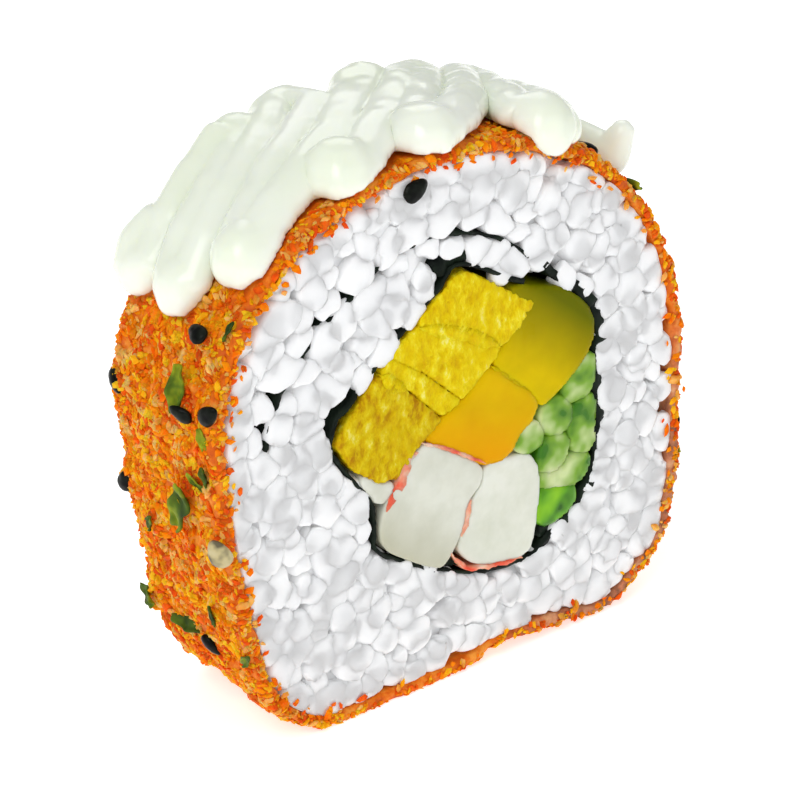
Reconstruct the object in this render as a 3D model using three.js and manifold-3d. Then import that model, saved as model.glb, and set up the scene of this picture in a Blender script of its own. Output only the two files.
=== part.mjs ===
// One thick slice of a rice-outside sushi roll, standing on the side of the roll.
// Millimetres. X runs across the cut faces, Y along the roll from the front cut to the rear cut, Z up.
// Outlines are drawn as [x, z] on the front cut face and run right through the slice.
import * as THREE from "three";
import { mergeVertices } from "three/addons/utils/BufferGeometryUtils.js";
import Module from "manifold-3d";

const wasm = await Module();
wasm.setup();

// Lengths along the roll
const SLICE_LENGTH = 16.5;
const RICE_CORE_LENGTH = 14.9;
const RICE_REACH = 9.1; // how far from mid-length a face grain may stand
const NORI_LENGTH = 16;
const REAR_NARROWING = 0.035; // share by which the rear cut is narrower than the front cut

// Thicknesses and gaps
const COAT_THICKNESS = 1.2;
const NORI_THICKNESS = 0.55;
const NORI_STEPS = 58; // flat pieces that the bent sheet is made of
const GAP = 0.32;
const RUN_THROUGH = 40; // length of a cutter that passes right through the slice
const WELD = 1e-4; // vertices closer than this are made one

// Outer outline of the coating, flat where the slice stands and arched a little beside that
const COAT_OUTLINE = [
  [-16, 0], [-10, 0], [-4, 0], [1.2, 0], [4.2, 1.1], [8, 0.9], [13, 0.6], [18, 0], [21.4, 1.6], [25.4, 5],
  [26.9, 12], [27.1, 22], [26.2, 31], [23, 39.6], [17.2, 46.4], [9, 50.8], [0, 52.6], [-9, 51.8],
  [-18.2, 48.4], [-24, 42.6], [-27, 35], [-26.9, 25.5], [-25, 14.5], [-22, 4.6],
];
const ROLL_MIDDLE = new THREE.Vector2(0, 28); // centre that surface angles are measured from

// The seaweed sheet's route: over the fillings, round them, and out between the two rice layers
const NORI_ROUTE = [
  [6.8, 37.7], [3.6, 39.4], [-0.7, 41.5], [-3.6, 39.2], [-8.2, 35.8], [-12.6, 32], [-15.1, 28.8],
  [-13.2, 24.9], [-10.3, 20.6], [-10, 16.4], [-6.6, 13.8], [-2.2, 11.4], [3.6, 9.6], [8.4, 9.3],
  [11.8, 11.4], [14.8, 13.4], [16.5, 17.2], [16.6, 22], [16.3, 27], [16.4, 31.2], [14.6, 34.4],
  [11.2, 37.1], [4.6, 42.3], [-1.2, 44.6], [-6.8, 44.5], [-11.6, 41.8], [-16.6, 38.6], [-19.8, 35],
  [-21.4, 31.6], [-21.9, 28.4],
];
const NORI_LOOP_POINTS = 22; // how many of them go once round the fillings

// Fillings: length along the roll, outline and colour. A sharp one keeps its corners.
const EGG = { roughness: 0.75, color: 0xf0cf2a };
const RADISH = { roughness: 0.4, color: 0xe8c000 };
const CRAB = { roughness: 0.5, color: 0xeceee6 };
const CUCUMBER = { roughness: 0.35, color: 0xa8cf6a };
const FILLINGS = {
  omelette_top: { ...EGG, length: 17.0, sharp: true, outline: [
    [-1.2, 40.3], [-5.2, 37], [0.6, 34.6], [4.6, 32.4], [7.8, 35.4], [3.8, 38], [0.2, 40.4]] },
  omelette_middle: { ...EGG, length: 16.6, sharp: true, outline: [
    [-5, 36.8], [-8.2, 34.9], [-4.5, 32.4], [-0.1, 28.5], [2, 30.2], [4.3, 32], [0.8, 34.3]] },
  omelette_sliver: { ...EGG, length: 16.3, sharp: true, outline: [
    [-8.3, 34.7], [-9.5, 33.5], [-6.6, 31.3], [-2.6, 27.4], [-1.2, 27.8], [-0.3, 28.2], [-4.7, 32.2]] },
  omelette_bottom: { ...EGG, length: 16.9, sharp: true, outline: [
    [-9.7, 33.3], [-12.6, 30.4], [-14.4, 28.3], [-12.4, 25.2], [-9.6, 23.1], [-7.4, 23.1], [-5.6, 25.2],
    [-2.9, 27.1], [-4.8, 29.1], [-6.9, 31.2]] },
  radish_right: { ...RADISH, length: 16.4, outline: [
    [4.9, 32.3], [3.3, 31], [5.8, 28.6], [8.4, 26.4], [9, 24.9], [11.2, 25.8], [14.7, 28.6], [15.5, 31],
    [14.4, 33.4], [11.4, 35.8], [7.6, 36.9], [5.4, 37.7]] },
  radish_left: { ...RADISH, length: 16.7, outline: [
    [-4.3, 25.8], [-1.8, 24], [3, 20.9], [5.2, 20.9], [6.4, 22.6], [8.7, 24.4], [8.3, 26], [5.6, 28.2],
    [2.9, 30.5], [0, 28.1]] },
  crab_small: { ...CRAB, length: 16.3, outline: [
    [-11.6, 24.2], [-11.7, 23.2], [-10.8, 21.9], [-9.9, 21], [-8.9, 20.9], [-8, 22.4], [-9.6, 22.8]] },
  crab_middle: { ...CRAB, length: 17.0, outline: [
    [-4.7, 25.1], [-7.3, 22.6], [-9.2, 20], [-9.4, 16.8], [-6.8, 14.5], [-4.4, 13], [-2.4, 12.1],
    [-1.2, 13.4], [0.1, 15.6], [0.5, 17.8], [2, 19.2], [2.2, 20.6], [-1.8, 23.5]] },
  crab_right: { ...CRAB, length: 16.8, outline: [
    [2.5, 20.6], [2.4, 19], [1, 17.6], [0.6, 15.5], [-0.6, 13.6], [1.4, 11.2], [6, 10], [8, 10.1],
    [8.9, 13.4], [9, 18], [8, 20.1], [5.8, 20.6]] },
  cucumber_1: { ...CUCUMBER, length: 16.0, outline: [
    [12.4, 26], [12.3, 24.4], [13.8, 24.1], [15.2, 24.5], [15.7, 26.6], [15.3, 28.3]] },
  cucumber_2: { ...CUCUMBER, length: 16.2, outline: [
    [9.4, 23.9], [9.6, 22.6], [11.2, 21.4], [12.8, 21.8], [12.9, 23.6], [11.6, 24.9]] },
  cucumber_3: { ...CUCUMBER, length: 16.4, outline: [
    [6.6, 22.3], [6.6, 21.2], [8.2, 20.7], [9.3, 21.2], [9.2, 22.4], [8.4, 23.3]] },
  cucumber_4: { ...CUCUMBER, length: 15.8, outline: [
    [9.6, 20.6], [9.6, 18.2], [11, 17.6], [12.4, 18.6], [12.6, 20.6], [11, 21]] },
  cucumber_5: { ...CUCUMBER, length: 16.1, outline: [
    [13.3, 23.4], [13.2, 20.4], [13.9, 18.8], [15.6, 18.4], [15.8, 21], [15.7, 23.8]] },
  cucumber_6: { ...CUCUMBER, length: 15.9, outline: [
    [9.7, 17.6], [9.6, 16.4], [13.4, 15.4], [14.8, 15.8], [15.4, 17.8], [13.4, 18.2], [11.2, 17]] },
  cucumber_skin: { ...CUCUMBER, length: 16.2, color: 0x4f9a1e, outline: [
    [9.5, 15.8], [9.3, 12.7], [11.4, 12.3], [13.4, 13.3], [13.9, 14.6]] },
};

// Rice grains fused on both cut faces
const GRAIN_HALF = [2.5, 1.3, 1.35]; // half length, half depth, half width
const GRAIN_SIZES = [0.85, 1.1];
const GRAIN_SPACING = 5.4;
const GRAIN_ROWS = 0.82; // height of a row, as a share of the spacing
const GRAIN_SHIFT = 0.65; // most that a grain is moved from its place in the row
const GRAIN_TILT = 0.42; // most that it is tilted out of the face, in radians
const GRAIN_DEPTHS = [-0.25, 0.1]; // where its centre lies, measured outwards from the core's face
const GRAIN_MARGIN = 0.9; // least distance of a grain's centre from the rice's edge
const RICE_SEED = [-6.1, 49.9]; // a seed that has fallen on the front of the rice

// Crumbs, seeds and herb flakes fused on the coating
const AROUND = 72; // facets of the coating round the roll
const ALONG = 6; // and along it
const BUMP = 0.36;
const EDGE_JITTER = 0.3;
const CRUMB_RADII = [0.75, 1.15];
const CRUMB_WIDTHS = [0.55, 0.9]; // width and height of a crumb, as shares of its length
const CRUMB_HEIGHTS = [0.5, 0.8];
const CRUMBS_A_SIDE = 30;
const CRUMB_LIFT = 0.3; // height of a piece's centre above the coating
const SEED_LIFT = 0.45;
const HERB_LIFT = 0.42;
const SEED_HALF = [1.45, 0.95, 0.6];
const SEED_FACETS = [6, 3];
const HERB_HALF = [1.5, 0.75, 0.28];
const SCATTER_REACH = 0.44; // share of the length that pieces reach to, each way from the middle
const LEFT_SIDE = [153, 222]; // surface angles left bare by the sauce and the underside, in degrees
const RIGHT_SIDE = [-42, 30];
const SEEDS_SEEN = [
  [153.7, -4.5], [167.5, -4.4], [165.7, -7.3], [170.5, 6.8], [191.8, 7], [192.3, -7.2], [220.1, -1.2],
];
const HERBS_SEEN = [
  [164.2, -3.3], [187, -3.2], [178.7, -6.4], [196.8, 3], [208.6, -5.1], [217.6, 7.2], [216.3, -7.1],
];
const SEEDS_HIDDEN = 9;
const HERBS_HIDDEN = 6;

// The sauce, squeezed to and fro in one line. Each run starts with a turn of the given radius and goes
// through places of surface angle, place along the roll and height of the strand's centre.
const SAUCE_RADIUS = 2.05;
const TAIL_RADIUS = 1.6;
const SAUCE_SIDES = 8;
const TURN_RINGS = 6;
const SAUCE_STEP = 4.6;
const SAUCE_LIFT = 0.5;
const SAUCE_RUNS = [
  { turn: 2.1, through: [[142.5, 7.2], [147, 7.8, 0.6], [150.3, 7.1]] },
  { turn: 2.3, through: [[149, 5.3], [136, 6, 0.6], [122, 7.8, 0.9]] },
  { turn: 2.2, through: [[117, 7.8, 0.4], [131, 3.6], [148.8, 1.2]] },
  { turn: 2.6, through: [[148.2, -0.6], [129, 1.6], [114, 6], [109, 8.8, 0]] },
  { turn: 2.1, through: [[105.5, 8.8, 0], [101.5, 6.4], [118, 1], [140, -4]] },
  { turn: 2.9, through: [[138.2, -5.6], [113, -1.4], [90.5, 7.2]] },
  { turn: 2.2, through: [[86, 7.6], [103, 1], [119, -4.9]] },
  { turn: 3.2, through: [[113.5, -6.3], [97, -0.8], [77, 7.2]] },
  { turn: 2.2, through: [[71, 7.6], [85, 1], [99.8, -5.4]] },
  { turn: 3.1, through: [[93.8, -6.4], [77, -1], [62, 7.2, 1]] },
  { turn: 2.2, through: [[56, 7.2, 1.1], [64, 1, 1.2], [71.5, -6.6, 1]] },
  { turn: 2.9, through: [[65.5, -7.6, 1], [56, -1, 1.5], [50, 5.8, 1.5]] },
  { turn: 2.1, through: [[45, 5, 1.5], [41, 1, 1.6], [38, -3.2, 1.9]] },
];
const SAUCE_TIP = { to: [41, -4.4, 4.6], radii: [0.6, 1.6] };

// A repeatable stream of numbers from 0 to 1.
function randomFrom(seed) {
  let state = seed;
  return () => {
    state = (state + 0x6d2b79f5) | 0;
    let t = Math.imul(state ^ (state >>> 15), 1 | state);
    t = (t + Math.imul(t ^ (t >>> 7), 61 | t)) ^ t;
    return ((t ^ (t >>> 14)) >>> 0) / 4294967296;
  };
}

const between = (random, low, high) => low + (high - low) * random();

// A closed geometry as a solid that can be joined and cut.
function solidFrom(geometry) {
  const bare = geometry.clone();
  bare.deleteAttribute("normal");
  bare.deleteAttribute("uv");
  const merged = mergeVertices(bare, WELD);
  return new wasm.Manifold(
    new wasm.Mesh({
      numProp: 3,
      vertProperties: merged.attributes.position.array,
      triVerts: new Uint32Array(merged.index.array),
    }),
  );
}

// The largest single body of a solid, as a geometry.
function geometryFrom(solid) {
  const bodies = solid.decompose().sort((a, b) => b.volume() - a.volume());
  const { vertProperties, triVerts } = bodies[0].getMesh();
  const geometry = new THREE.BufferGeometry();
  geometry.setAttribute("position", new THREE.BufferAttribute(new Float32Array(vertProperties), 3));
  geometry.setIndex(new THREE.BufferAttribute(new Uint32Array(triVerts), 1));
  return geometry;
}

const joined = (solids) => solids.reduce((whole, solid) => whole.add(solid));

const flatPoints = (points) => points.map(([x, z]) => new THREE.Vector2(x, z));

function roundCurve(points, closed) {
  const places = points.map(([x, z]) => new THREE.Vector3(x, z, 0));
  return new THREE.CatmullRomCurve3(places, closed, "centripetal");
}

// A smooth closed outline through the given points, never below the table.
function smoothOutline(points, count) {
  const places = roundCurve(points, true).getSpacedPoints(count).slice(0, count);
  return places.map((p) => new THREE.Vector2(p.x, Math.max(p.y, 0)));
}

// Outward normals of an outline that runs anticlockwise.
function outlineNormals(outline, closed = true) {
  const last = outline.length - 1;
  return outline.map((p, i) => {
    const before = outline[closed ? (i + last) % outline.length : Math.max(i - 1, 0)];
    const after = outline[closed ? (i + 1) % outline.length : Math.min(i + 1, last)];
    return new THREE.Vector2(after.y - before.y, before.x - after.x).normalize();
  });
}

function offsetOutline(outline, distance) {
  const normals = outlineNormals(outline);
  return outline.map((p, i) => p.clone().addScaledVector(normals[i], distance));
}

// An outline on the cut face, run along the roll.
function prism(outline, length) {
  const extrude = { depth: length, bevelEnabled: false };
  const geometry = new THREE.ExtrudeGeometry(new THREE.Shape(outline), extrude);
  geometry.rotateX(Math.PI / 2);
  geometry.translate(0, length / 2, 0);
  return solidFrom(geometry);
}

// A sheet of even thickness along an open route, run along the roll.
function sheet(route, thickness, length, count) {
  const line = roundCurve(route, false).getSpacedPoints(count).map((p) => new THREE.Vector2(p.x, p.y));
  const normals = outlineNormals(line, false);
  const side = (sign) => line.map((p, i) => p.clone().addScaledVector(normals[i], (sign * thickness) / 2));
  return prism([...side(1), ...side(-1).reverse()], length);
}

const coatOuter = smoothOutline(COAT_OUTLINE, AROUND);
const coatNormals = outlineNormals(coatOuter);

// The place on the coating's surface in a given direction from the roll's middle.
function surfaceAt(degrees) {
  const direction = THREE.MathUtils.degToRad(degrees);
  const turn = (p) => {
    const difference = Math.atan2(p.y - ROLL_MIDDLE.y, p.x - ROLL_MIDDLE.x) - direction;
    return Math.atan2(Math.sin(difference), Math.cos(difference));
  };
  const at = coatOuter.findIndex((p, i) => {
    const next = coatOuter[(i + 1) % AROUND];
    return turn(p) <= 0 && turn(next) > 0 && turn(next) - turn(p) < 1;
  });
  const next = (at + 1) % AROUND;
  const share = turn(coatOuter[at]) / (turn(coatOuter[at]) - turn(coatOuter[next]));
  return {
    point: coatOuter[at].clone().lerp(coatOuter[next], share),
    normal: coatNormals[at].clone().lerp(coatNormals[next], share).normalize(),
  };
}

// A point a given height above the coating.
function abovePoint(degrees, along, height) {
  const { point, normal } = surfaceAt(degrees);
  const lifted = point.addScaledVector(normal, height);
  return new THREE.Vector3(lifted.x, along, lifted.y);
}

// A small piece laid on the coating, turned by a spin in the surface.
function laidOn(geometry, degrees, along, height, spin) {
  const { normal } = surfaceAt(degrees);
  const out = new THREE.Vector3(normal.x, 0, normal.y);
  const turned = new THREE.Quaternion().setFromUnitVectors(new THREE.Vector3(0, 0, 1), out);
  const placed = geometry.clone();
  placed.rotateZ(spin);
  placed.applyQuaternion(turned);
  placed.translate(...abovePoint(degrees, along, height).toArray());
  return solidFrom(placed);
}

// The crumb coating's shell: bumpy outside, smooth inside, closed over both cuts.
function coatShell() {
  const random = randomFrom(11);
  const inner = offsetOutline(coatOuter, -COAT_THICKNESS);
  const rows = [];
  for (let j = 0; j <= ALONG; j += 1) {
    const y = SLICE_LENGTH * (j / ALONG - 0.5);
    rows.push(coatOuter.map((p, i) => {
      const bump = between(random, -BUMP, BUMP);
      const along = y + between(random, -EDGE_JITTER, EDGE_JITTER);
      const flat = p.y < 0.05;
      const moved = p.clone().addScaledVector(coatNormals[i], flat ? 0 : bump);
      return [moved.x, flat ? y : along, flat ? 0 : Math.max(moved.y, 0)];
    }));
  }
  for (const end of [0.5, -0.5]) rows.push(inner.map((p) => [p.x, SLICE_LENGTH * end, p.y]));
  const indices = [];
  rows.forEach((row, j) => {
    const nextRow = ((j + 1) % rows.length) * AROUND;
    row.forEach((place, i) => {
      const nextPlace = (i + 1) % AROUND;
      const a = j * AROUND + i;
      const b = j * AROUND + nextPlace;
      const c = nextRow + nextPlace;
      const d = nextRow + i;
      indices.push(a, c, b, a, d, c);
    });
  });
  const geometry = new THREE.BufferGeometry();
  geometry.setAttribute("position", new THREE.Float32BufferAttribute(rows.flat(2), 3));
  geometry.setIndex(indices);
  return solidFrom(geometry);
}

function seed() {
  const geometry = new THREE.SphereGeometry(1, ...SEED_FACETS);
  geometry.scale(...SEED_HALF);
  return geometry;
}

// Angles and places for pieces spread over one bare side of the coating.
function scatter(random, count, side) {
  const reach = SCATTER_REACH * SLICE_LENGTH;
  return Array.from({ length: count }, () => [between(random, ...side), between(random, -reach, reach)]);
}

// The coating with its small pieces. One that would reach into the sauce is left out.
function crumbCoating() {
  const random = randomFrom(23);
  const pieces = [];
  const lay = (geometry, [degrees, along], lift) => {
    pieces.push(laidOn(geometry, degrees, along, lift, random() * Math.PI));
  };
  for (const side of [LEFT_SIDE, RIGHT_SIDE]) {
    for (const place of scatter(random, CRUMBS_A_SIDE, side)) {
      const crumb = new THREE.OctahedronGeometry(between(random, ...CRUMB_RADII));
      crumb.scale(1, between(random, ...CRUMB_WIDTHS), between(random, ...CRUMB_HEIGHTS));
      lay(crumb, place, CRUMB_LIFT);
    }
  }
  for (const place of [...SEEDS_SEEN, ...scatter(random, SEEDS_HIDDEN, RIGHT_SIDE)]) {
    lay(seed(), place, SEED_LIFT);
  }
  for (const place of [...HERBS_SEEN, ...scatter(random, HERBS_HIDDEN, RIGHT_SIDE)]) {
    lay(new THREE.BoxGeometry(...HERB_HALF.map((half) => 2 * half)), place, HERB_LIFT);
  }
  const sauceRoom = sauceStrands(GAP);
  return joined([coatShell(), ...pieces.filter((piece) => piece.intersect(sauceRoom).volume() <= 0)]);
}

const noriSheet = () => sheet(NORI_ROUTE, NORI_THICKNESS, NORI_LENGTH, NORI_STEPS);
const noriRoom = sheet(NORI_ROUTE, NORI_THICKNESS + 2 * GAP, RUN_THROUGH, NORI_STEPS);
const noriLoop = flatPoints(NORI_ROUTE.slice(0, NORI_LOOP_POINTS));
const riceOutline = offsetOutline(coatOuter, -COAT_THICKNESS - GAP);

const insideOutline = (point, outline) => {
  let inside = false;
  outline.forEach((a, i) => {
    const b = outline[(i + 1) % outline.length];
    const crosses = a.y > point.y !== b.y > point.y;
    if (crosses && point.x < a.x + ((b.x - a.x) * (point.y - a.y)) / (b.y - a.y)) inside = !inside;
  });
  return inside;
};

// Centres of the grains on one face: staggered rows with each place shifted a little.
function grainPlaces(random) {
  const edge = offsetOutline(riceOutline, -GRAIN_MARGIN);
  const hole = offsetOutline(noriLoop, -GRAIN_MARGIN);
  const { min, max } = new THREE.Box2().setFromPoints(edge);
  const shift = () => between(random, -GRAIN_SHIFT, GRAIN_SHIFT);
  const places = [];
  for (let row = 0, z = min.y; z < max.y; row += 1, z += GRAIN_SPACING * GRAIN_ROWS) {
    for (let x = min.x + (row % 2) * (GRAIN_SPACING / 2); x < max.x; x += GRAIN_SPACING) {
      const place = new THREE.Vector2(x + shift(), z + shift());
      if (insideOutline(place, edge) && !insideOutline(place, hole)) places.push(place);
    }
  }
  return places;
}

// The rice: a core through the slice with grains fused on both faces, open round the seaweed.
function rice() {
  const random = randomFrom(37);
  const pieces = [prism(riceOutline, RICE_CORE_LENGTH)];
  for (const face of [-1, 1]) {
    for (const place of grainPlaces(random)) {
      const grain = new THREE.IcosahedronGeometry(1, 0);
      const size = between(random, ...GRAIN_SIZES);
      grain.scale(...GRAIN_HALF.map((half) => half * size));
      grain.rotateX(between(random, -GRAIN_TILT, GRAIN_TILT));
      grain.rotateZ(between(random, -GRAIN_TILT, GRAIN_TILT));
      grain.rotateY(random() * Math.PI);
      const depth = RICE_CORE_LENGTH / 2 + between(random, ...GRAIN_DEPTHS);
      grain.translate(place.x, face * depth, place.y);
      pieces.push(solidFrom(grain));
    }
  }
  const fallen = seed();
  fallen.rotateX(Math.PI / 2);
  fallen.translate(RICE_SEED[0], -RICE_CORE_LENGTH / 2 - GRAIN_HALF[1] / 2, RICE_SEED[1]);
  pieces.push(solidFrom(fallen));
  const room = prism(riceOutline, 2 * RICE_REACH).subtract(prism([...noriLoop].reverse(), RUN_THROUGH));
  return joined(pieces).intersect(room.subtract(noriRoom));
}

// Each filling keeps clear of the seaweed and of the fillings before it.
function fillings() {
  const made = {};
  const taken = [noriRoom];
  for (const [name, { outline, length, sharp }] of Object.entries(FILLINGS)) {
    const drawn = sharp ? flatPoints(outline) : smoothOutline(outline, 2 * outline.length);
    const solid = prism(offsetOutline(drawn, -GAP / 2), length);
    made[name] = taken.reduce((rest, other) => rest.subtract(other), solid);
    taken.push(prism(offsetOutline(drawn, GAP / 2), RUN_THROUGH));
  }
  return made;
}

// A point at a surface place: its angle, its place along the roll and its height.
const saucePoint = ([degrees, along, height = SAUCE_LIFT]) => abovePoint(degrees, along, height);

// A round strand laid over the coating through the given surface places.
function strand(places, radius) {
  const through = places.map((place) => new THREE.Vector3(place[0], place[1], place[2] ?? SAUCE_LIFT));
  const length = new THREE.CatmullRomCurve3(places.map(saucePoint)).getLength();
  const count = Math.max(2, Math.round(length / SAUCE_STEP));
  const laid = new THREE.CatmullRomCurve3(through).getPoints(count).map((p) => saucePoint([...p]));
  const section = new THREE.Shape();
  section.absarc(0, 0, radius, 0, 2 * Math.PI);
  const path = new THREE.CatmullRomCurve3(laid);
  const extrude = { steps: count, curveSegments: SAUCE_SIDES, extrudePath: path };
  return solidFrom(new THREE.ExtrudeGeometry(section, extrude));
}

function ball(centre, radius) {
  const geometry = new THREE.SphereGeometry(radius, SAUCE_SIDES, TURN_RINGS);
  geometry.rotateX(Math.PI / 2);
  geometry.translate(...centre.toArray());
  return solidFrom(geometry);
}

// The lifted wisp in which the sauce ends.
function wisp(from, grown) {
  const to = saucePoint(SAUCE_TIP.to);
  const way = to.clone().sub(from);
  const radii = SAUCE_TIP.radii.map((radius) => radius + grown);
  const geometry = new THREE.CylinderGeometry(...radii, way.length(), SAUCE_SIDES);
  const up = THREE.Object3D.DEFAULT_UP;
  geometry.applyQuaternion(new THREE.Quaternion().setFromUnitVectors(up, way.clone().normalize()));
  geometry.translate(...from.clone().lerp(to, 0.5).toArray());
  return solidFrom(geometry);
}

// The sauce's strands joined by their turns, with all radii grown by the given amount.
function sauceStrands(grown) {
  const last = SAUCE_RUNS.length - 1;
  const end = saucePoint(SAUCE_RUNS[last].through.at(-1));
  const pieces = [wisp(end, grown), ball(end, TAIL_RADIUS + grown)];
  SAUCE_RUNS.forEach(({ turn, through }, i) => {
    const start = saucePoint(through[0]);
    const middle = i ? saucePoint(SAUCE_RUNS[i - 1].through.at(-1)).lerp(start, 0.5) : start;
    const radius = i === last ? TAIL_RADIUS : SAUCE_RADIUS;
    pieces.push(strand(through, radius + grown), ball(middle, turn + grown));
  });
  return joined(pieces);
}

// The sauce follows the coating and is cut clear of it and of the rice.
function sauce() {
  const coarse = coatOuter.filter((p, i) => i % 2 === 0);
  const coatRoom = prism(offsetOutline(coarse, BUMP + GAP), SLICE_LENGTH + 2 * (EDGE_JITTER + GAP));
  const riceRoom = prism(offsetOutline(coarse, -COAT_THICKNESS), 2 * (RICE_REACH + GAP));
  return sauceStrands(0).subtract(coatRoom).subtract(riceRoom);
}

// A solid as a named mesh, narrowed towards the rear cut with the whole slice.
function addMesh(group, name, solid, { color, roughness }) {
  const material = new THREE.MeshStandardMaterial({ color, roughness, metalness: 0 });
  const geometry = geometryFrom(solid);
  const places = geometry.attributes.position;
  for (let i = 0; i < places.count; i += 1) {
    const share = places.getY(i) / SLICE_LENGTH + 0.5;
    places.setX(i, places.getX(i) * (1 - REAR_NARROWING * share));
  }
  geometry.computeVertexNormals();
  const mesh = new THREE.Mesh(geometry, material);
  mesh.name = name;
  group.add(mesh);
}

const pieces = new THREE.Group();
addMesh(pieces, "crumb_coating", crumbCoating(), { color: 0xe0782c, roughness: 0.85 });
addMesh(pieces, "rice", rice(), { color: 0xeeeeec, roughness: 0.5 });
addMesh(pieces, "nori", noriSheet(), { color: 0x1c2a1c, roughness: 0.6 });
for (const [name, solid] of Object.entries(fillings())) addMesh(pieces, name, solid, FILLINGS[name]);
addMesh(pieces, "sauce", sauce(), { color: 0xe9efdd, roughness: 0.3 });

// The origin is on the table, under the middle of the whole slice.
const extent = new THREE.Box3().setFromObject(pieces, true);
const middle = extent.getCenter(new THREE.Vector3());
pieces.position.set(-middle.x, -middle.y, -extent.min.z);

const roll = new THREE.Group();
roll.add(pieces);

export default roll;
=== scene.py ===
import math
import random

import bpy
from mathutils import Matrix, Quaternion, Vector, noise
from mathutils.bvhtree import BVHTree


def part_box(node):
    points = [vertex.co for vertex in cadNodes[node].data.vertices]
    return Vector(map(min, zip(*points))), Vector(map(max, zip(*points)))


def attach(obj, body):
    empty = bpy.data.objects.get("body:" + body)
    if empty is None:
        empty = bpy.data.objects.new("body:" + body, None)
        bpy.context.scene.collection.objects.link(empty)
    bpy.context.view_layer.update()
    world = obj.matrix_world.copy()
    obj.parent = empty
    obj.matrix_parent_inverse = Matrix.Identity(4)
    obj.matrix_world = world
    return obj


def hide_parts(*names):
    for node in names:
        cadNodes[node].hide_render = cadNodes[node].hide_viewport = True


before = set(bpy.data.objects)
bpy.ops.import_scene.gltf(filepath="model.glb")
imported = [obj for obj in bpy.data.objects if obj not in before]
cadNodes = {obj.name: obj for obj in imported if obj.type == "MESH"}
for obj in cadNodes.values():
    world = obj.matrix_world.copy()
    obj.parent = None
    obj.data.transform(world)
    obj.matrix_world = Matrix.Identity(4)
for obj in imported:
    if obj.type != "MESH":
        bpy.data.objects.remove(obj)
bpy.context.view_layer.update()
bpy.ops.object.select_all(action="DESELECT")

noise.seed_set(7)  # or else the vector noise differs from run to run
mm = 0.001
noriLow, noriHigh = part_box("nori")
midSlice = (noriLow.y + noriHigh.y) / 2  # the seaweed is centred between the two cuts
sideShift = noriLow.x + 22.17 * mm  # as drawn, the seaweed's left end is 22.17 mm left of the middle
rollMiddle = Vector((sideShift, midSlice, 28 * mm))
halfSlice = 8.25 * mm
narrowing = 0.035  # the rear cut is narrower than the front cut by this share


# a place drawn in millimetres from the middle of the slice's foot
def drawn(x, y, z):
    return Vector((x * mm + sideShift, y * mm + midSlice, z * mm))


# the same, drawn on the front cut and moved in towards the rear
def inSlice(x, y, z):
    return drawn(x * (1 - narrowing * (y * mm / halfSlice + 1) / 2), y, z)


def workOn(piece):
    bpy.ops.object.select_all(action="DESELECT")
    piece.select_set(True)
    bpy.context.view_layer.objects.active = piece


def applyModifier(piece, kind, **settings):
    workOn(piece)
    modifier = piece.modifiers.new(kind.title(), kind)
    for name, value in settings.items():
        setattr(modifier, name, value)
    bpy.ops.object.modifier_apply(modifier=modifier.name)


# uneven swelling along the normals, from one of Blender's own cloud patterns
def lumps(piece, size, strength, depth=2):
    clouds = bpy.data.textures.new(piece.name + "Lumps", "CLOUDS")
    clouds.noise_scale = size
    clouds.noise_depth = depth
    applyModifier(piece, "DISPLACE", texture=clouds, texture_coords="LOCAL",
                  strength=strength, mid_level=0.5)


# a merged copy of a CAD node that can be shaped
def copyNode(node, name):
    piece = cadNodes[node].copy()
    piece.data = cadNodes[node].data.copy()
    piece.name = piece.data.name = name
    piece.data.materials.clear()
    piece.parent = None
    for key in list(piece.keys()):
        del piece[key]
    bpy.context.scene.collection.objects.link(piece)
    workOn(piece)
    bpy.ops.object.mode_set(mode="EDIT")
    bpy.ops.mesh.select_all(action="SELECT")
    bpy.ops.mesh.remove_doubles(threshold=0.00001)
    bpy.ops.object.mode_set(mode="OBJECT")
    return piece


def shadeSmooth(piece):
    workOn(piece)
    bpy.ops.object.shade_smooth()


def placed(point, turn, size):
    return Matrix.Translation(point) @ turn.to_matrix().to_4x4() @ Matrix.Diagonal((*size, 1))


# the pieces as one mesh, which keeps the last one's place
def joined(pieces):
    bpy.ops.object.select_all(action="DESELECT")
    for piece in pieces:
        piece.select_set(True)
    bpy.context.view_layer.objects.active = pieces[-1]
    if len(pieces) > 1:
        bpy.ops.object.join()
    return pieces[-1]


# one mesh from many copies, each place being a model and its matrix
def scatter(places, name):
    twins = []
    for model, matrix in places:
        twin = model.copy()
        twin.data = model.data.copy()
        twin.matrix_world = matrix
        bpy.context.scene.collection.objects.link(twin)
        twins.append(twin)
    piece = joined(twins)
    piece.name = piece.data.name = name
    bpy.ops.object.transform_apply(location=True, rotation=True, scale=True)
    return piece


def ellipsoid(size, subdivisions):
    bpy.ops.mesh.primitive_ico_sphere_add(subdivisions=subdivisions, radius=1, scale=[s * mm for s in size])
    bpy.ops.object.transform_apply(scale=True)
    return bpy.context.object


def discard(models):
    for model in models:
        bpy.data.objects.remove(model)


# a piece's surface, for finding where straight lines meet it
def surfaceOf(piece):
    mesh = piece.data
    return BVHTree.FromPolygons([v.co for v in mesh.vertices], [f.vertices for f in mesh.polygons])


def hit(surface, start, way, reach=0.08):
    point, normal, _, _ = surface.ray_cast(start, way, reach)
    return (point, normal) if point else None


def dress(piece, material, slot, *nodes):
    piece.data.materials.clear()
    piece.data.materials.append(material)
    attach(piece, "root")
    if nodes:
        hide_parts(*nodes)


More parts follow.
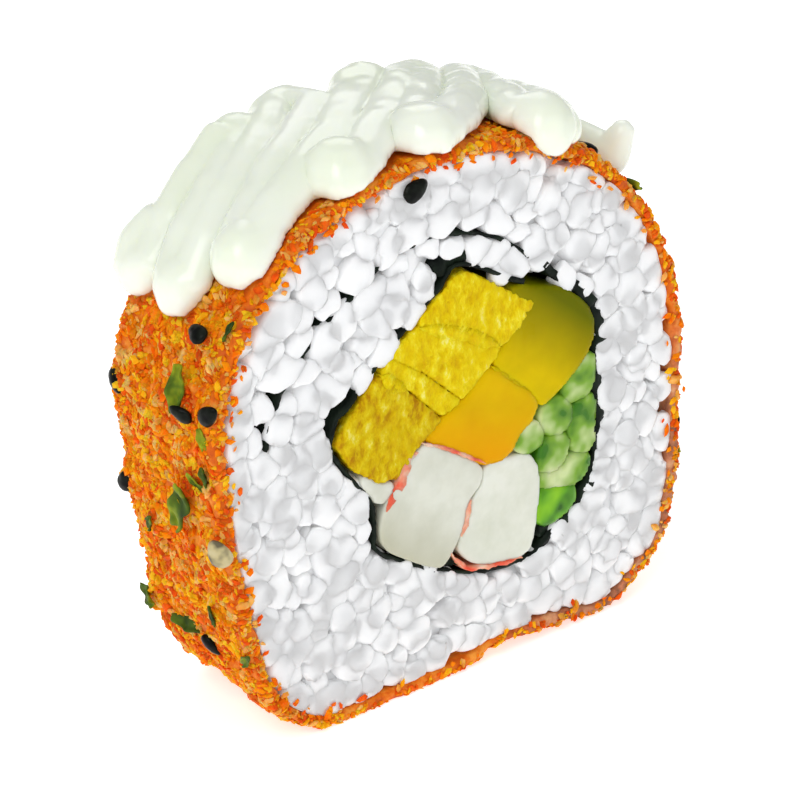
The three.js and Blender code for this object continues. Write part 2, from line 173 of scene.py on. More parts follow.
# a material's node tree, built up one texture at a time
class Paint:
    def __init__(self, name, **sockets):
        self.material = bpy.data.materials.new(name)
        self.material.use_nodes = True
        self.nodes = self.material.node_tree.nodes
        self.links = self.material.node_tree.links
        self.shader = self.nodes["Principled BSDF"]
        for socket, value in sockets.items():
            self.shader.inputs[socket.replace("_", " ")].default_value = value
        self.place = self.nodes.new("ShaderNodeTexCoord").outputs["Object"]

    def noise(self, scale, detail=3, rough=0.5, stretch=(1, 1, 1), turn=(0, 0, 0)):
        mapping = self.nodes.new("ShaderNodeMapping")
        mapping.inputs["Scale"].default_value = stretch
        mapping.inputs["Rotation"].default_value = turn
        texture = self.nodes.new("ShaderNodeTexNoise")
        texture.inputs["Scale"].default_value = scale
        texture.inputs["Detail"].default_value = detail
        texture.inputs["Roughness"].default_value = rough
        self.links.new(self.place, mapping.inputs["Vector"])
        self.links.new(mapping.outputs["Vector"], texture.inputs["Vector"])
        return texture.outputs["Fac"]

    def ramp(self, fac, *stops):
        ramp = self.nodes.new("ShaderNodeValToRGB")
        points = ramp.color_ramp.elements
        while len(points) < len(stops):
            points.new(0.5)
        for point, (position, colour) in zip(points, stops):
            point.position = position
            point.color = (*colour, 1)
        self.links.new(fac, ramp.inputs["Fac"])
        return ramp.outputs["Color"]

    def mix(self, fac, one, two):
        mix = self.nodes.new("ShaderNodeMix")
        mix.data_type = "RGBA"
        mix.clamp_factor = True
        for socket, value in zip([s for s in mix.inputs if s.enabled], (fac, one, two)):
            if isinstance(value, bpy.types.NodeSocket):
                self.links.new(value, socket)
            else:
                socket.default_value = (*value, 1)
        return next(s for s in mix.outputs if s.enabled)

    def span(self, value, low, high, start=0.0, end=1.0):
        span = self.nodes.new("ShaderNodeMapRange")
        for name, number in (("From Min", low), ("From Max", high), ("To Min", start), ("To Max", end)):
            span.inputs[name].default_value = number
        self.links.new(value, span.inputs["Value"])
        return span.outputs["Result"]

    # how far a point lies along a direction, from one distance to another
    def along(self, way, low, high):
        dot = self.nodes.new("ShaderNodeVectorMath")
        dot.operation = "DOT_PRODUCT"
        dot.inputs[1].default_value = way
        self.links.new(self.place, dot.inputs[0])
        return self.span(dot.outputs["Value"], low, high)

    def colour(self, socket):
        self.links.new(socket, self.shader.inputs["Base Color"])

    def roughness(self, fac, low, high):
        self.links.new(self.span(fac, 0.3, 0.7, low, high), self.shader.inputs["Roughness"])

    def bump(self, height, strength, distance):
        bump = self.nodes.new("ShaderNodeBump")
        bump.inputs["Strength"].default_value = strength
        bump.inputs["Distance"].default_value = distance
        self.links.new(height, bump.inputs["Height"])
        self.links.new(bump.outputs["Normal"], self.shader.inputs["Normal"])


# the camera looks at the front cut from the left and above
view = {"place": (-155.898, -192.427, 145.136), "azimuth": 38.87, "elevation": 25.853, "lens": 135}


def makeCamera():
    turn, tilt = math.radians(view["azimuth"]), math.radians(view["elevation"])
    back = Vector((-math.sin(turn) * math.cos(tilt), -math.cos(turn) * math.cos(tilt), math.sin(tilt)))
    bpy.ops.object.camera_add(location=drawn(*view["place"]))
    camera = bpy.context.object
    camera.rotation_mode = "QUATERNION"
    camera.rotation_quaternion = back.to_track_quat("Z", "Y")
    camera.data.lens = view["lens"]
    camera.data.sensor_width = 36
    camera.data.clip_start, camera.data.clip_end = 0.01, 10
    bpy.context.scene.camera = camera
    bpy.context.scene.view_settings.view_transform = "Standard"


studio = {
    "key": {"place": (-0.36, -0.16, 0.42), "size": 0.34, "power": 1.3},
    "fill": {"place": (0.16, -0.50, 0.24), "size": 0.45, "power": 0.42},
    "back": {"place": (0.25, 0.35, 0.40), "size": 0.35, "power": 0.6},
    "air": (0.97, 0.985, 1.0), "airStrength": 0.46,
    "floor": (0.9, 0.9, 0.9), "floorSize": 6, "floorGlow": 0.55,
}


def makeStudio():
    for name in ("key", "fill", "back"):
        lamp = studio[name]
        bpy.ops.object.light_add(type="AREA", location=lamp["place"])
        light = bpy.context.object
        light.name = name
        light.data.size = lamp["size"]
        light.data.energy = lamp["power"]
        aim = Vector((0, 0, 0.025)) - light.location
        light.rotation_euler = aim.to_track_quat("-Z", "Y").to_euler()
    world = bpy.data.worlds.new("air")
    bpy.context.scene.world = world
    world.use_nodes = True
    world.node_tree.nodes["Background"].inputs["Color"].default_value = (*studio["air"], 1)
    world.node_tree.nodes["Background"].inputs["Strength"].default_value = studio["airStrength"]
    bpy.ops.mesh.primitive_plane_add(size=studio["floorSize"], location=(0, 0, 0))
    floor = bpy.context.object
    floor.name = "floor"
    paint = Paint("paleFloor", Base_Color=(*studio["floor"], 1), Roughness=0.9, Specular_IOR_Level=0.1,
                  Emission_Color=(1, 1, 1, 1), Emission_Strength=studio["floorGlow"])
    floor.data.materials.append(paint.material)


makeCamera()
makeStudio()
print("camera and lights are in place")


# the sheet of seaweed, from its inner end round the fillings and out between the rice layers
nori = {
    "route": [
        (6.8, 37.7), (3.6, 39.4), (-0.7, 41.5), (-3.6, 39.2), (-8.2, 35.8), (-12.6, 32), (-15.1, 28.8),
        (-13.2, 24.9), (-10.3, 20.6), (-10, 16.4), (-6.6, 13.8), (-2.2, 11.4), (3.6, 9.6), (8.4, 9.3),
        (11.8, 11.4), (14.8, 13.4), (16.5, 17.2), (16.6, 22), (16.3, 27), (16.4, 31.2), (14.6, 34.4),
        (11.2, 37.1), (4.6, 42.3), (-1.2, 44.6), (-6.8, 44.5), (-11.6, 41.8), (-16.6, 38.6), (-19.8, 35),
        (-21.4, 31.6), (-21.9, 28.4)],
    "lineSteps": 240, "thickness": 1.15, "thickFrom": 14,  # that thick at the right, from here on
    "left": 0.27, "tailThin": 0.3,  # shares of the thickness, at the left and along the tail
    "tailHalf": 0.6,  # places this near the tail's line are on it
    "reach": 8.02, "ragged": 0.3, "wave": 0.24, "columns": 340, "rows": 26,
    "tail": 0.72, "tailReach": 7.8,  # from this share of the route on, it runs between two layers of rice
    "hollowShadeSkin": {"reach": 7.75, "ragged": 0.3, "wave": 0.2, "columns": 24, "rows": 12},
    # painted shade: skins of dark seaweed laid in the hollows beside the sheet
    "folds": {  # dark hollows beside the sheet
        "noriFoldTop": ([(-3.6, 41.2), (-2.2, 42), (-0.8, 42.2), (0.6, 41.6)], 1.7),
        "noriFoldFoot": ([(-2.2, 12.4), (-1.1, 12.0), (-0.3, 11.4)], 1.0),
        "noriFoldRight": ([(9.6, 10.9), (10.9, 12.0), (12.4, 12.9)], 1.3),
    },
}


# places evenly spread along a smooth line through the points
def smoothRoute(points, count):
    fine = []
    for n in range(len(points) - 1):
        before, start = points[max(n - 1, 0)], points[n]
        end, after = points[n + 1], points[min(n + 2, len(points) - 1)]
        for k in range(20):
            t = k / 20
            fine.append([0.5 * (2 * b + (c - a) * t + (2 * a - 5 * b + 4 * c - d) * t * t
                                + (3 * b - a - 3 * c + d) * t ** 3)
                         for a, b, c, d in zip(before, start, end, after)])
    fine.append(list(points[-1]))
    lengths = [0]
    for one, two in zip(fine, fine[1:]):
        lengths.append(lengths[-1] + math.dist(one, two))
    places, at = [], 0
    for n in range(count):
        want = lengths[-1] * n / (count - 1)
        while at < len(fine) - 2 and lengths[at + 1] < want:
            at += 1
        share = (want - lengths[at]) / (lengths[at + 1] - lengths[at])
        places.append([a + (b - a) * share for a, b in zip(fine[at], fine[at + 1])])
    return places


# rice: grains packed over a core, on both cuts
rice = {
    "coreVoxel": 0.55, "coreReach": 8.0, "paintedGlow": 0.04,
    "grain": (2.05, 1.3, 1.5), "grainModels": 9, "lump": 0.6, "bend": 0.05, "taper": 0.12,
    "brokenFrom": 0.2, "brokenStep": 0.09, "brokenOff": 0.85,  # half of the kinds of grain lack an end
    "sizes": (0.72, 1.25), "stray": 0.3, "endOn": 0.22, "depthStray": 0.25,
    "layers": [{"depth": 0.85, "gap": 2.45}, {"depth": 1.05, "gap": 2.1}], "tries": 8000,
    "near": 0.35, "far": 2.1,  # the rice that a grain needs round it, and from where it lies along an edge
    "tailGap": 0.9, "hollowShadeGap": 1.0,  # kept free beside the seaweed
    "rowStep": 4, "rowSkip": 4, "rowStray": (-0.15, 0.35), "rowBeside": 1.2, "rowOver": 0.3, "overKept": 0.9,
    "over": [(0.02, 0.18), (0.66, 0.72)],  # shares of the sheet's route that grains lie over
    "cutAt": -0.2, "cut": 0.16,  # what stands past the cut is flattened to this share
    "press": 0.3, "pressed": 0.1,  # and the same against the coat
}


# painted light: the rice gives off a faint glow of its own, though it is no lamp
def ricePaint():
    paint = Paint("stickyRice", Roughness=0.36, Subsurface_Weight=0.5, Subsurface_Scale=0.002,
                  Specular_IOR_Level=0.3, Subsurface_Radius=(1.0, 0.95, 0.9),
                  Emission_Color=(1, 1, 1, 1), Emission_Strength=rice["paintedGlow"])
    clouds = paint.noise(260, 3)
    paint.colour(paint.ramp(clouds, (0.3, (0.86, 0.86, 0.865)), (0.6, (0.92, 0.92, 0.92))))
    paint.roughness(paint.noise(420, 2), 0.28, 0.5)
    paint.bump(paint.noise(900, 3), 0.2, 0.0001)
    return paint.material


def riceCore(material):
    core = copyNode("rice", "riceCore")
    applyModifier(core, "REMESH", mode="VOXEL", voxel_size=rice["coreVoxel"] * mm)
    applyModifier(core, "SMOOTH", factor=0.6, iterations=6)
    depth = max(abs(v.co.y - midSlice) for v in core.data.vertices)
    share = rice["coreReach"] * mm / depth
    for vertex in core.data.vertices:
        vertex.co.y = midSlice + (vertex.co.y - midSlice) * share
    lumps(core, 0.0016, 0.0005)
    shadeSmooth(core)
    dress(core, material, "rice", "rice")


def grainModels():
    models = []
    for n in range(rice["grainModels"]):
        grain = ellipsoid(rice["grain"], 3)
        bend = (n % 5 - 2) * rice["bend"]
        broken = rice["brokenFrom"] + rice["brokenStep"] * n
        for vertex in grain.data.vertices:
            along = vertex.co.x / (rice["grain"][0] * mm)
            wobble = noise.noise_vector(vertex.co / (1.7 * mm) + Vector((7 * n, 0, 0)))
            vertex.co += wobble * rice["lump"] * mm
            vertex.co.z += bend * along * along * 2 * mm
            vertex.co.y *= 1 - rice["taper"] * along
            if n % 2 and along > broken:
                vertex.co.x -= (along - broken) * rice["brokenOff"] * rice["grain"][0] * mm
        models.append(grain)
    return models


noriLine = [Vector(place) for place in smoothRoute(nori["route"], nori["lineSteps"])]
tailLine = noriLine[int(nori["lineSteps"] * nori["tail"]):]
overLines = [noriLine[int(nori["lineSteps"] * start):int(nori["lineSteps"] * end)]
             for start, end in rice["over"]]


# how far a drawn place is from the seaweed between the rice layers, and which way that runs there
def besideTail(x, z):
    spot = Vector((x, z))
    at = min(range(len(tailLine) - 1), key=lambda n: (tailLine[n] - spot).length)
    return (tailLine[at] - spot).length, tailLine[at + 1] - tailLine[at]


# whether a drawn place is near one of the skins of painted shade in the seaweed's hollows
def besideFold(x, z):
    folds = [Vector(place) for route, _ in nori["folds"].values() for place in route]
    return min((hollowShade - Vector((x, z))).length for hollowShade in folds) < rice["hollowShadeGap"]


# rows of grains laid along the seaweed: beside its tail, and over it at the upper left
def grainRows(side, dice):
    spots = []
    rows = [(tailLine, 1, rice["rowBeside"]), (tailLine, -1, rice["rowBeside"])]
    for line, sign, beside in rows + [(line, -1, rice["rowOver"]) for line in overLines]:
        at = dice.randrange(3)
        while at < len(line) - 1:
            run = (line[at + 1] - line[at]).normalized()
            spot = line[at] + Vector((-run.y, run.x)) * sign * (beside + dice.uniform(*rice["rowStray"]))
            if not besideFold(*spot) and (line is tailLine or dice.random() < rice["overKept"]):
                place = inSlice(spot.x, side * halfSlice / mm, spot.y)
                spots.append((place.x, place.z, run))
            at += rice["rowStep"] + dice.randrange(rice["rowSkip"])
    return spots


# how a grain may lie at a place on one cut: None off the rice, else the way it has to point or ()
def grainWay(surface, x, z, side):
    way = Vector((0, -side, 0))
    start = midSlice + side * 0.02

    def there(dx, dz):
        return hit(surface, Vector((x + dx, start, z + dz)), way, 0.016) is not None

    if not there(0, 0):
        return None
    if besideFold((x - sideShift) / mm, z / mm):
        return None
    distance, run = besideTail((x - sideShift) / mm, z / mm)
    if distance < rice["tailGap"]:
        return None
    if distance < 2 * rice["tailGap"]:
        return run
    misses = Vector((0, 0))
    for n in range(12):
        angle = n * math.pi / 6
        around = Vector((math.cos(angle), math.sin(angle)))
        near, far = around * rice["near"] * mm, around * rice["far"] * mm
        if not there(near.x, near.y):
            return None
        if not there(far.x, far.y):
            misses += around
    return Vector((-misses.y, misses.x)) if misses.length > 0.5 else ()


def grainPlaces(surface, side, models, dice):
    low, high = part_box("rice")
    places = []

    def lay(x, z, way, depth):
        stray = rice["stray"]
        pointing = math.atan2(-way[1], way[0]) + dice.gauss(0, stray) if way else dice.uniform(0, math.pi)
        turn = Quaternion((0, 1, 0), pointing) @ Quaternion((0, 0, 1), dice.gauss(0, stray))
        if not way and dice.random() < rice["endOn"]:
            turn @= Quaternion((0, 0, 1), math.pi / 2 + dice.gauss(0, stray))
        turn @= Quaternion((1, 0, 0), dice.uniform(0, 6.28))
        size = dice.uniform(*rice["sizes"])
        depth += dice.uniform(-rice["depthStray"], rice["depthStray"])
        y = midSlice + side * (halfSlice - depth * mm)
        places.append((dice.choice(models), placed(Vector((x, y, z)), turn, (size,) * 3)))

    rows = grainRows(side, dice)
    for x, z, run in rows:
        lay(x, z, run, rice["layers"][0]["depth"])
    for layer in rice["layers"]:
        taken = [(x, z) for x, z, _ in rows]
        gap = layer["gap"] * mm
        for _ in range(rice["tries"]):
            x, z = dice.uniform(low.x, high.x), dice.uniform(low.z, high.z)
            if any((x - u) ** 2 + (z - w) ** 2 < gap * gap for u, w in taken):
                continue
            way = grainWay(surface, x, z, side)
            if way is not None:
                taken.append((x, z))
                lay(x, z, way, layer["depth"])
    return places


# how far the rice reaches from the roll's middle in each direction, near one cut
def riceEdge(surface, side):
    edge = []
    for degree in range(360):
        way = Vector((math.cos(math.radians(degree)), 0, math.sin(math.radians(degree))))
        point, _ = hit(surface, rollMiddle + way * 0.05 + Vector((0, side * 7 * mm, 0)), -way)
        edge.append(Vector((point.x - rollMiddle.x, point.z - rollMiddle.z)).length)
    return edge


# a grain that reaches into the coating is pressed flat against it
def pressIn(vertex, edge):
    out = Vector((vertex.co.x - rollMiddle.x, vertex.co.z - rollMiddle.z))
    most = edge[round(math.degrees(math.atan2(out.y, out.x))) % 360] + rice["press"] * mm
    if out.length > most:
        out *= (most + (out.length - most) * rice["pressed"]) / out.length
        vertex.co.x, vertex.co.z = rollMiddle.x + out.x, rollMiddle.z + out.y


# the grains on each cut, sliced nearly level
def riceGrains(material):
    dice = random.Random(5)
    models = grainModels()
    surface = surfaceOf(cadNodes["rice"])
    cut = halfSlice + rice["cutAt"] * mm
    for side, name in ((-1, "riceGrainsFront"), (1, "riceGrainsRear")):
        places = grainPlaces(surface, side, models, dice)
        grains = scatter(places, name)
        edge = riceEdge(surface, side)
        for vertex in grains.data.vertices:
            pressIn(vertex, edge)
            out = (vertex.co.y - midSlice) * side
            if out > cut:
                vertex.co.y = midSlice + side * (cut + (out - cut) * rice["cut"])
            vertex.co.z = max(vertex.co.z, 0.4 * mm)
        shadeSmooth(grains)
        dress(grains, material, "rice")
        print(name, len(places), "grains,", len(grains.data.polygons), "triangles")
    discard(models)


riceMaterial = ricePaint()
riceCore(riceMaterial)
riceGrains(riceMaterial)


# a thin skin along a route drawn on the cut, run through the slice
def skin(name, route, thickness, reach, ragged, wave, columns, rows, tail=1, tailReach=0, weigh=None):
    bpy.ops.mesh.primitive_grid_add(x_subdivisions=columns - 1, y_subdivisions=rows - 1, size=2)
    piece = bpy.context.object
    piece.name = piece.data.name = name
    line = smoothRoute(route, columns)
    weights = []
    for vertex in piece.data.vertices:
        column = round((vertex.co.x + 1) / 2 * (columns - 1))
        share = column / (columns - 1)
        weights.append(weigh(*line[column]) if weigh else min(1, 0.1 + 5 * share * (1 - share)))
        across = vertex.co.y
        x, z = line[column]
        edge = ragged * noise.noise(Vector((x * 0.9, z * 0.9, 3 * across)))
        fade = min(1, max(0, (column / columns - tail) / 0.06))
        y = across * (reach + (tailReach - reach) * fade) + edge * abs(across)
        push = noise.noise_vector(Vector((x * 0.55, y * 0.4, z * 0.55))) * wave
        vertex.co = inSlice(x + push.x, y, z + push.z)
    thick = piece.vertex_groups.new(name="thick")
    for index, weight in enumerate(weights):
        thick.add([index], weight, "REPLACE")
    applyModifier(piece, "SOLIDIFY", thickness=thickness * mm, offset=0, vertex_group="thick")
    return piece


# the sheet is thickest at the right and thinnest between the rice layers
def sheetWeight(x, z):
    if besideTail(x, z)[0] < nori["tailHalf"]:
        return nori["tailThin"]
    share = min(1, max(0, x / nori["thickFrom"]))
    return nori["left"] + (1 - nori["left"]) * share ** 2


def noriSheet():
    sheet = skin("noriSheet", nori["route"], nori["thickness"], nori["reach"], nori["ragged"],
                 nori["wave"], nori["columns"], nori["rows"], nori["tail"], nori["tailReach"], sheetWeight)
    # the hollows beside the sheet get dark seaweed skins as painted shade
    folds = [skin(name, route, thickness, **nori["hollowShadeSkin"])
             for name, (route, thickness) in nori["folds"].items()]
    joined(folds + [sheet])
    lumps(sheet, 0.0007, 0.0004)
    shadeSmooth(sheet)
    paint = Paint("darkSeaweed", Roughness=0.5, Specular_IOR_Level=0.1)
    blotches = paint.noise(500, 4)
    paint.colour(paint.ramp(blotches, (0.35, (0.002, 0.004, 0.003)), (0.7, (0.012, 0.022, 0.012))))
    paint.roughness(paint.noise(350, 3), 0.35, 0.7)
    paint.bump(paint.noise(1400, 3), 0.5, 0.0001)
    dress(sheet, paint.material, "nori", "nori")


noriSheet()
print("the seaweed is rolled in")


# fillings: each is the CAD piece, swollen to touch its neighbours, roughened and cut level
filling = {"voxel": 0.26, "cut": 8.15, "pastCut": 0.3}


def shapedFilling(node, name, grow, coarse, fine, rounding=1):
    piece = copyNode(node, name)
    applyModifier(piece, "REMESH", mode="VOXEL", voxel_size=filling["voxel"] * mm)
    applyModifier(piece, "SMOOTH", factor=0.5, iterations=rounding)
    applyModifier(piece, "DISPLACE", strength=grow * mm, mid_level=0)
    lumps(piece, 0.0022, coarse * mm)
    for vertex in piece.data.vertices:
        out = vertex.co.y - midSlice
        if abs(out) > filling["cut"] * mm:
            level = filling["cut"] * mm + (abs(out) - filling["cut"] * mm) * filling["pastCut"]
            vertex.co.y = midSlice + math.copysign(level, out)
    if fine:
        lumps(piece, 0.0005, fine * mm, 1)
    shadeSmooth(piece)
    return piece


omelette = {
    "coarse": 0.2, "fine": 0.42, "grow": {"top": 0.42, "middle": 0.4, "sliver": 0.24, "bottom": 0.36},
    "joinSkin": {"reach": 8.4, "ragged": 0.1, "wave": 0.1, "columns": 60, "rows": 20},
    "joins": {  # where two pieces of omelette have run into each other
        "omeletteJoinTop": ([(-5.3, 36.8), (-2.4, 35.7), (0.6, 34.4), (2.6, 33.3), (3.9, 32.4)], 1.3),
        "omeletteJoinLow": ([(-9.5, 33.4), (-8.2, 32.3), (-7, 31.3)], 1.2)},
}


def omelettePaint(name, edge, flesh, pale, spot):
    paint = Paint(name, Roughness=0.6, Subsurface_Weight=0.3, Subsurface_Scale=0.0012,
                  Specular_IOR_Level=0.06, Subsurface_Radius=(1.0, 0.7, 0.1))
    flakes = paint.noise(900, 4, 0.7, stretch=(1, 1, 0.5), turn=(0, 0.7, 0))
    # the spot stop paints pale flecks on the flakes, which are painted highlights
    body = paint.ramp(flakes, (0.34, edge), (0.5, flesh), (0.60, pale), (0.72, spot))
    patches = paint.span(paint.noise(210, 2), 0.45, 0.85)
    paint.colour(paint.mix(patches, body, flesh))
    paint.bump(flakes, 0.7, 0.0003)
    return paint.material


def makeOmelette():
    egg = omelettePaint("omelette", (0.60, 0.36, 0.0), (0.73, 0.54, 0.001), (0.82, 0.68, 0.02),
                        (0.90, 0.84, 0.28))
    deep = omelettePaint("omeletteDeep", (0.42, 0.19, 0.0), (0.62, 0.43, 0.001), (0.70, 0.55, 0.01),
                         (0.80, 0.72, 0.18))
    for part, grow in omelette["grow"].items():
        piece = shapedFilling("omelette_" + part, "omelette" + part.title(), grow,
                              omelette["coarse"], omelette["fine"])
        dress(piece, deep if part == "bottom" else egg, "omelette", "omelette_" + part)
    for name, (route, thickness) in omelette["joins"].items():
        piece = skin(name, route, thickness, **omelette["joinSkin"])
        lumps(piece, 0.0005, omelette["fine"] * mm, 1)
        shadeSmooth(piece)
        dress(piece, egg, "omelette")


makeOmelette()


radish = {
    "coarse": 0.15, "grow": 0.44,
    "join": ([(3.2, 30.6), (4.4, 29.5), (5.7, 28.4), (7.2, 27.1), (8.3, 26.1)], 0.9),
    "joinSkin": {"reach": 8.22, "ragged": 0.1, "wave": 0.1, "columns": 40, "rows": 20},
    # a direction, where along it the tint comes in, and the tint: at the corner it is painted shade, a dark
    # olive towards the upper right; at the foot a deeper amber
    "corner": (((0.62, 0, 0.78), 0.0275, 0.0342), (0.13, 0.14, 0.0)),
    "foot": (((-0.3, 0, -0.95), -0.0262, -0.0205), (0.80, 0.33, 0.0)),
}


def radishPaint(name, low, high, end):
    paint = Paint(name, Roughness=0.4, Subsurface_Weight=0.5, Subsurface_Scale=0.002,
                  Specular_IOR_Level=0.03, Subsurface_Radius=(1.0, 0.6, 0.02))
    clouds = paint.noise(230, 4)
    body = paint.ramp(clouds, (0.3, low), (0.7, high))
    where, tint = radish[end]
    # at the corner the tint is painted shade, darkening the radish towards its upper right
    paint.colour(paint.mix(paint.along(*where), body, tint))
    paint.roughness(clouds, 0.25, 0.45)
    paint.bump(paint.noise(500, 3), 0.12, 0.0002)
    return paint.material


def makeRadish():
    # the right piece and the join get painted shade towards the upper right corner
    yellow = radishPaint("pickledRadish", (0.56, 0.40, 0.0), (0.72, 0.52, 0.0), "corner")
    amber = radishPaint("amberRadish", (0.64, 0.37, 0.0), (0.72, 0.46, 0.0), "foot")
    for part, material in (("right", yellow), ("left", amber)):
        piece = shapedFilling("radish_" + part, "radish" + part.title(), radish["grow"], radish["coarse"], 0)
        dress(piece, material, "radish", "radish_" + part)
    route, thickness = radish["join"]
    piece = skin("radishJoin", route, thickness, **radish["joinSkin"])
    lumps(piece, 0.0012, 0.0002)
    shadeSmooth(piece)
    dress(piece, radishPaint("joinedRadish", (0.58, 0.37, 0.0), (0.68, 0.46, 0.0), "corner"), "radish")


makeRadish()


crab = {"coarse": 0.15, "grow": 0.3, "rounding": 3}


def crabPaint(name, low, high, shade):
    paint = Paint(name, Roughness=0.5, Subsurface_Weight=0.4, Subsurface_Scale=0.0015,
                  Specular_IOR_Level=0.25, Subsurface_Radius=(1.0, 0.9, 0.75))
    threads = paint.noise(300, 3, 0.6, stretch=(1, 0.15, 1))
    body = paint.ramp(threads, (0.3, low), (0.65, high))
    paint.colour(paint.mix(paint.along((-0.6, 0, -0.8), -0.0125, -0.0055), body, shade))
    paint.bump(threads, 0.2, 0.0002)
    return paint.material


def makeCrab():
    stick = crabPaint("crabStick", (0.64, 0.66, 0.55), (0.76, 0.77, 0.68), (0.60, 0.62, 0.52))
    shaded = crabPaint("crabStickShaded", (0.60, 0.61, 0.51), (0.72, 0.73, 0.64), (0.42, 0.41, 0.28))
    for part in ("small", "middle", "right"):
        piece = shapedFilling("crab_" + part, "crab" + part.title(), crab["grow"], crab["coarse"], 0,
                              crab["rounding"])
        dress(piece, stick if part == "right" else shaded, "crab", "crab_" + part)


makeCrab()


cucumber = {"coarse": 0.3, "fine": 0.1, "grow": 0.6, "rounding": 2}


def cucumberPaint(name, dark, middle, pale):
    paint = Paint(name, Roughness=0.35, Subsurface_Weight=0.6, Subsurface_Scale=0.0022,
                  Specular_IOR_Level=0.2, Subsurface_Radius=(0.8, 1.0, 0.3))
    flesh = paint.noise(330, 2, 0.5)
    paint.colour(paint.ramp(flesh, (0.32, dark), (0.46, middle), (0.66, pale)))
    paint.roughness(flesh, 0.25, 0.45)
    paint.bump(paint.noise(700, 2), 0.15, 0.0002)
    return paint.material


def makeCucumber():
    grow, coarse, rounding = cucumber["grow"], cucumber["coarse"], cucumber["rounding"]
    flesh = cucumberPaint("cucumberFlesh", (0.04, 0.17, 0.004), (0.20, 0.38, 0.03), (0.60, 0.70, 0.34))
    for n in range(1, 7):
        piece = shapedFilling(f"cucumber_{n}", f"cucumber{n}", grow, coarse, cucumber["fine"], rounding)
        dress(piece, flesh, "cucumber", f"cucumber_{n}")
    peel = cucumberPaint("cucumberPeel", (0.02, 0.10, 0.002), (0.10, 0.33, 0.004), (0.24, 0.54, 0.008))
    piece = shapedFilling("cucumber_skin", "cucumberSkin", grow, coarse, 0, rounding)
    dress(piece, peel, "cucumber_skin", "cucumber_skin")


makeCucumber()


# the red outside of the crab sticks, where it shows between them
crabSkin = {"reach": 8.38, "ragged": 0.2, "wave": 0.3, "columns": 60, "rows": 20}
crabSkins = {
    "crabSkinTop": ([(-4.9, 25.4), (-3.6, 24.8), (-1.6, 23.7), (0.6, 22.3), (2.3, 21)], 0.36),
    "crabSkinLeft": ([(-5.6, 24.7), (-6.6, 23.7), (-7.3, 22.5), (-8.2, 21.1), (-8.9, 19.9)], 0.9),
    "crabSkinMiddle": ([(0.9, 17.9), (0.4, 16.6), (0.1, 15.4), (-0.2, 14.6)], 0.5),
    "crabSkinFoot": (
        [(-1.4, 13.2), (-0.9, 12.2), (0, 11.3), (1.2, 10.6), (3.2, 10.3), (5, 9.9), (7, 9.8)], 0.36),
}


def makeCrabSkins():
    paint = Paint("crabRed", Roughness=0.5, Subsurface_Weight=0.5, Subsurface_Scale=0.001,
                  Specular_IOR_Level=0.2)
    paint.colour(paint.ramp(paint.noise(420, 3), (0.36, (0.80, 0.10, 0.05)), (0.5, (0.84, 0.32, 0.20)),
                            (0.64, (0.84, 0.56, 0.44))))
    paint.bump(paint.noise(700, 3), 0.3, 0.0002)
    for name, (route, thickness) in crabSkins.items():
        piece = skin(name, route, thickness, **crabSkin)
        lumps(piece, 0.0006, 0.0003)
        shadeSmooth(piece)
        dress(piece, paint.material, "crab")


makeCrabSkins()
print("the fillings are in")


# sauce: the CAD strands melted into each other
sauce = {"voxel": 0.28, "smoothing": 9, "swell": 0.5}


def makeSauce():
    piece = copyNode("sauce", "pipedSauce")
    applyModifier(piece, "REMESH", mode="VOXEL", voxel_size=sauce["voxel"] * mm)
    applyModifier(piece, "SMOOTH", factor=0.6, iterations=sauce["smoothing"])
    applyModifier(piece, "DISPLACE", strength=sauce["swell"] * mm, mid_level=0)
    applyModifier(piece, "SMOOTH", factor=0.6, iterations=sauce["smoothing"] // 2)
    lumps(piece, 0.004, 0.0005, 1)
    shadeSmooth(piece)
    paint = Paint("creamySauce", Roughness=0.2, Subsurface_Weight=0.6, Subsurface_Scale=0.0025,
                  Specular_IOR_Level=0.5, Subsurface_Radius=(1.0, 0.95, 0.75))
    paint.colour(paint.ramp(paint.noise(90, 2), (0.3, (0.83, 0.89, 0.73)), (0.7, (0.89, 0.93, 0.82))))
    paint.roughness(paint.noise(260, 2), 0.14, 0.26)
    dress(piece, paint.material, "sauce", "sauce")
    return piece


# coating: a sticky skin buried in crumbs, with sesame seeds and herb flakes
coat = {
    "voxel": 0.5,
    "rimTurn": 0.6, "rimShare": 3,  # faces turned this much along the roll are its rim, and fuller of crumbs
    "outerTurn": 0.2, "rimBack": -0.3,  # how far the faces that hold crumbs look out from the roll's line
    "inside": 7.6,  # rays for places nearer the cuts start from here
}


def coatBase():
    piece = copyNode("crumb_coating", "coatBase")
    applyModifier(piece, "REMESH", mode="VOXEL", voxel_size=coat["voxel"] * mm)
    applyModifier(piece, "SMOOTH", factor=0.5, iterations=2)
    lumps(piece, 0.0012, 0.0006)
    for vertex in piece.data.vertices:
        vertex.co.z = max(vertex.co.z, 0)
    shadeSmooth(piece)
    paint = Paint("stickyCoat", Roughness=0.5, Subsurface_Weight=0.25, Subsurface_Scale=0.001,
                  Specular_IOR_Level=0.15)
    grit = paint.noise(650, 4, 0.6)
    orange = paint.ramp(grit, (0.3, (0.52, 0.07, 0.002)), (0.5, (0.76, 0.16, 0.004)),
                        (0.7, (0.88, 0.34, 0.04)))
    # painted shade: towards the lower right the orange turns to a darker brown, where the rim lies in shadow
    brown = paint.ramp(grit, (0.35, (0.22, 0.09, 0.05)), (0.5, (0.52, 0.19, 0.09)), (0.7, (0.68, 0.36, 0.2)))
    lowerRight = paint.along((0.8, 0, -0.6), 0.002, 0.009)
    paint.colour(paint.mix(lowerRight, orange, brown))
    paint.bump(grit, 0.6, 0.0004)
    dress(piece, paint.material, "crumb_coating", "crumb_coating")
    return piece


def isRim(normal):
    return abs(normal.y) > coat["rimTurn"]


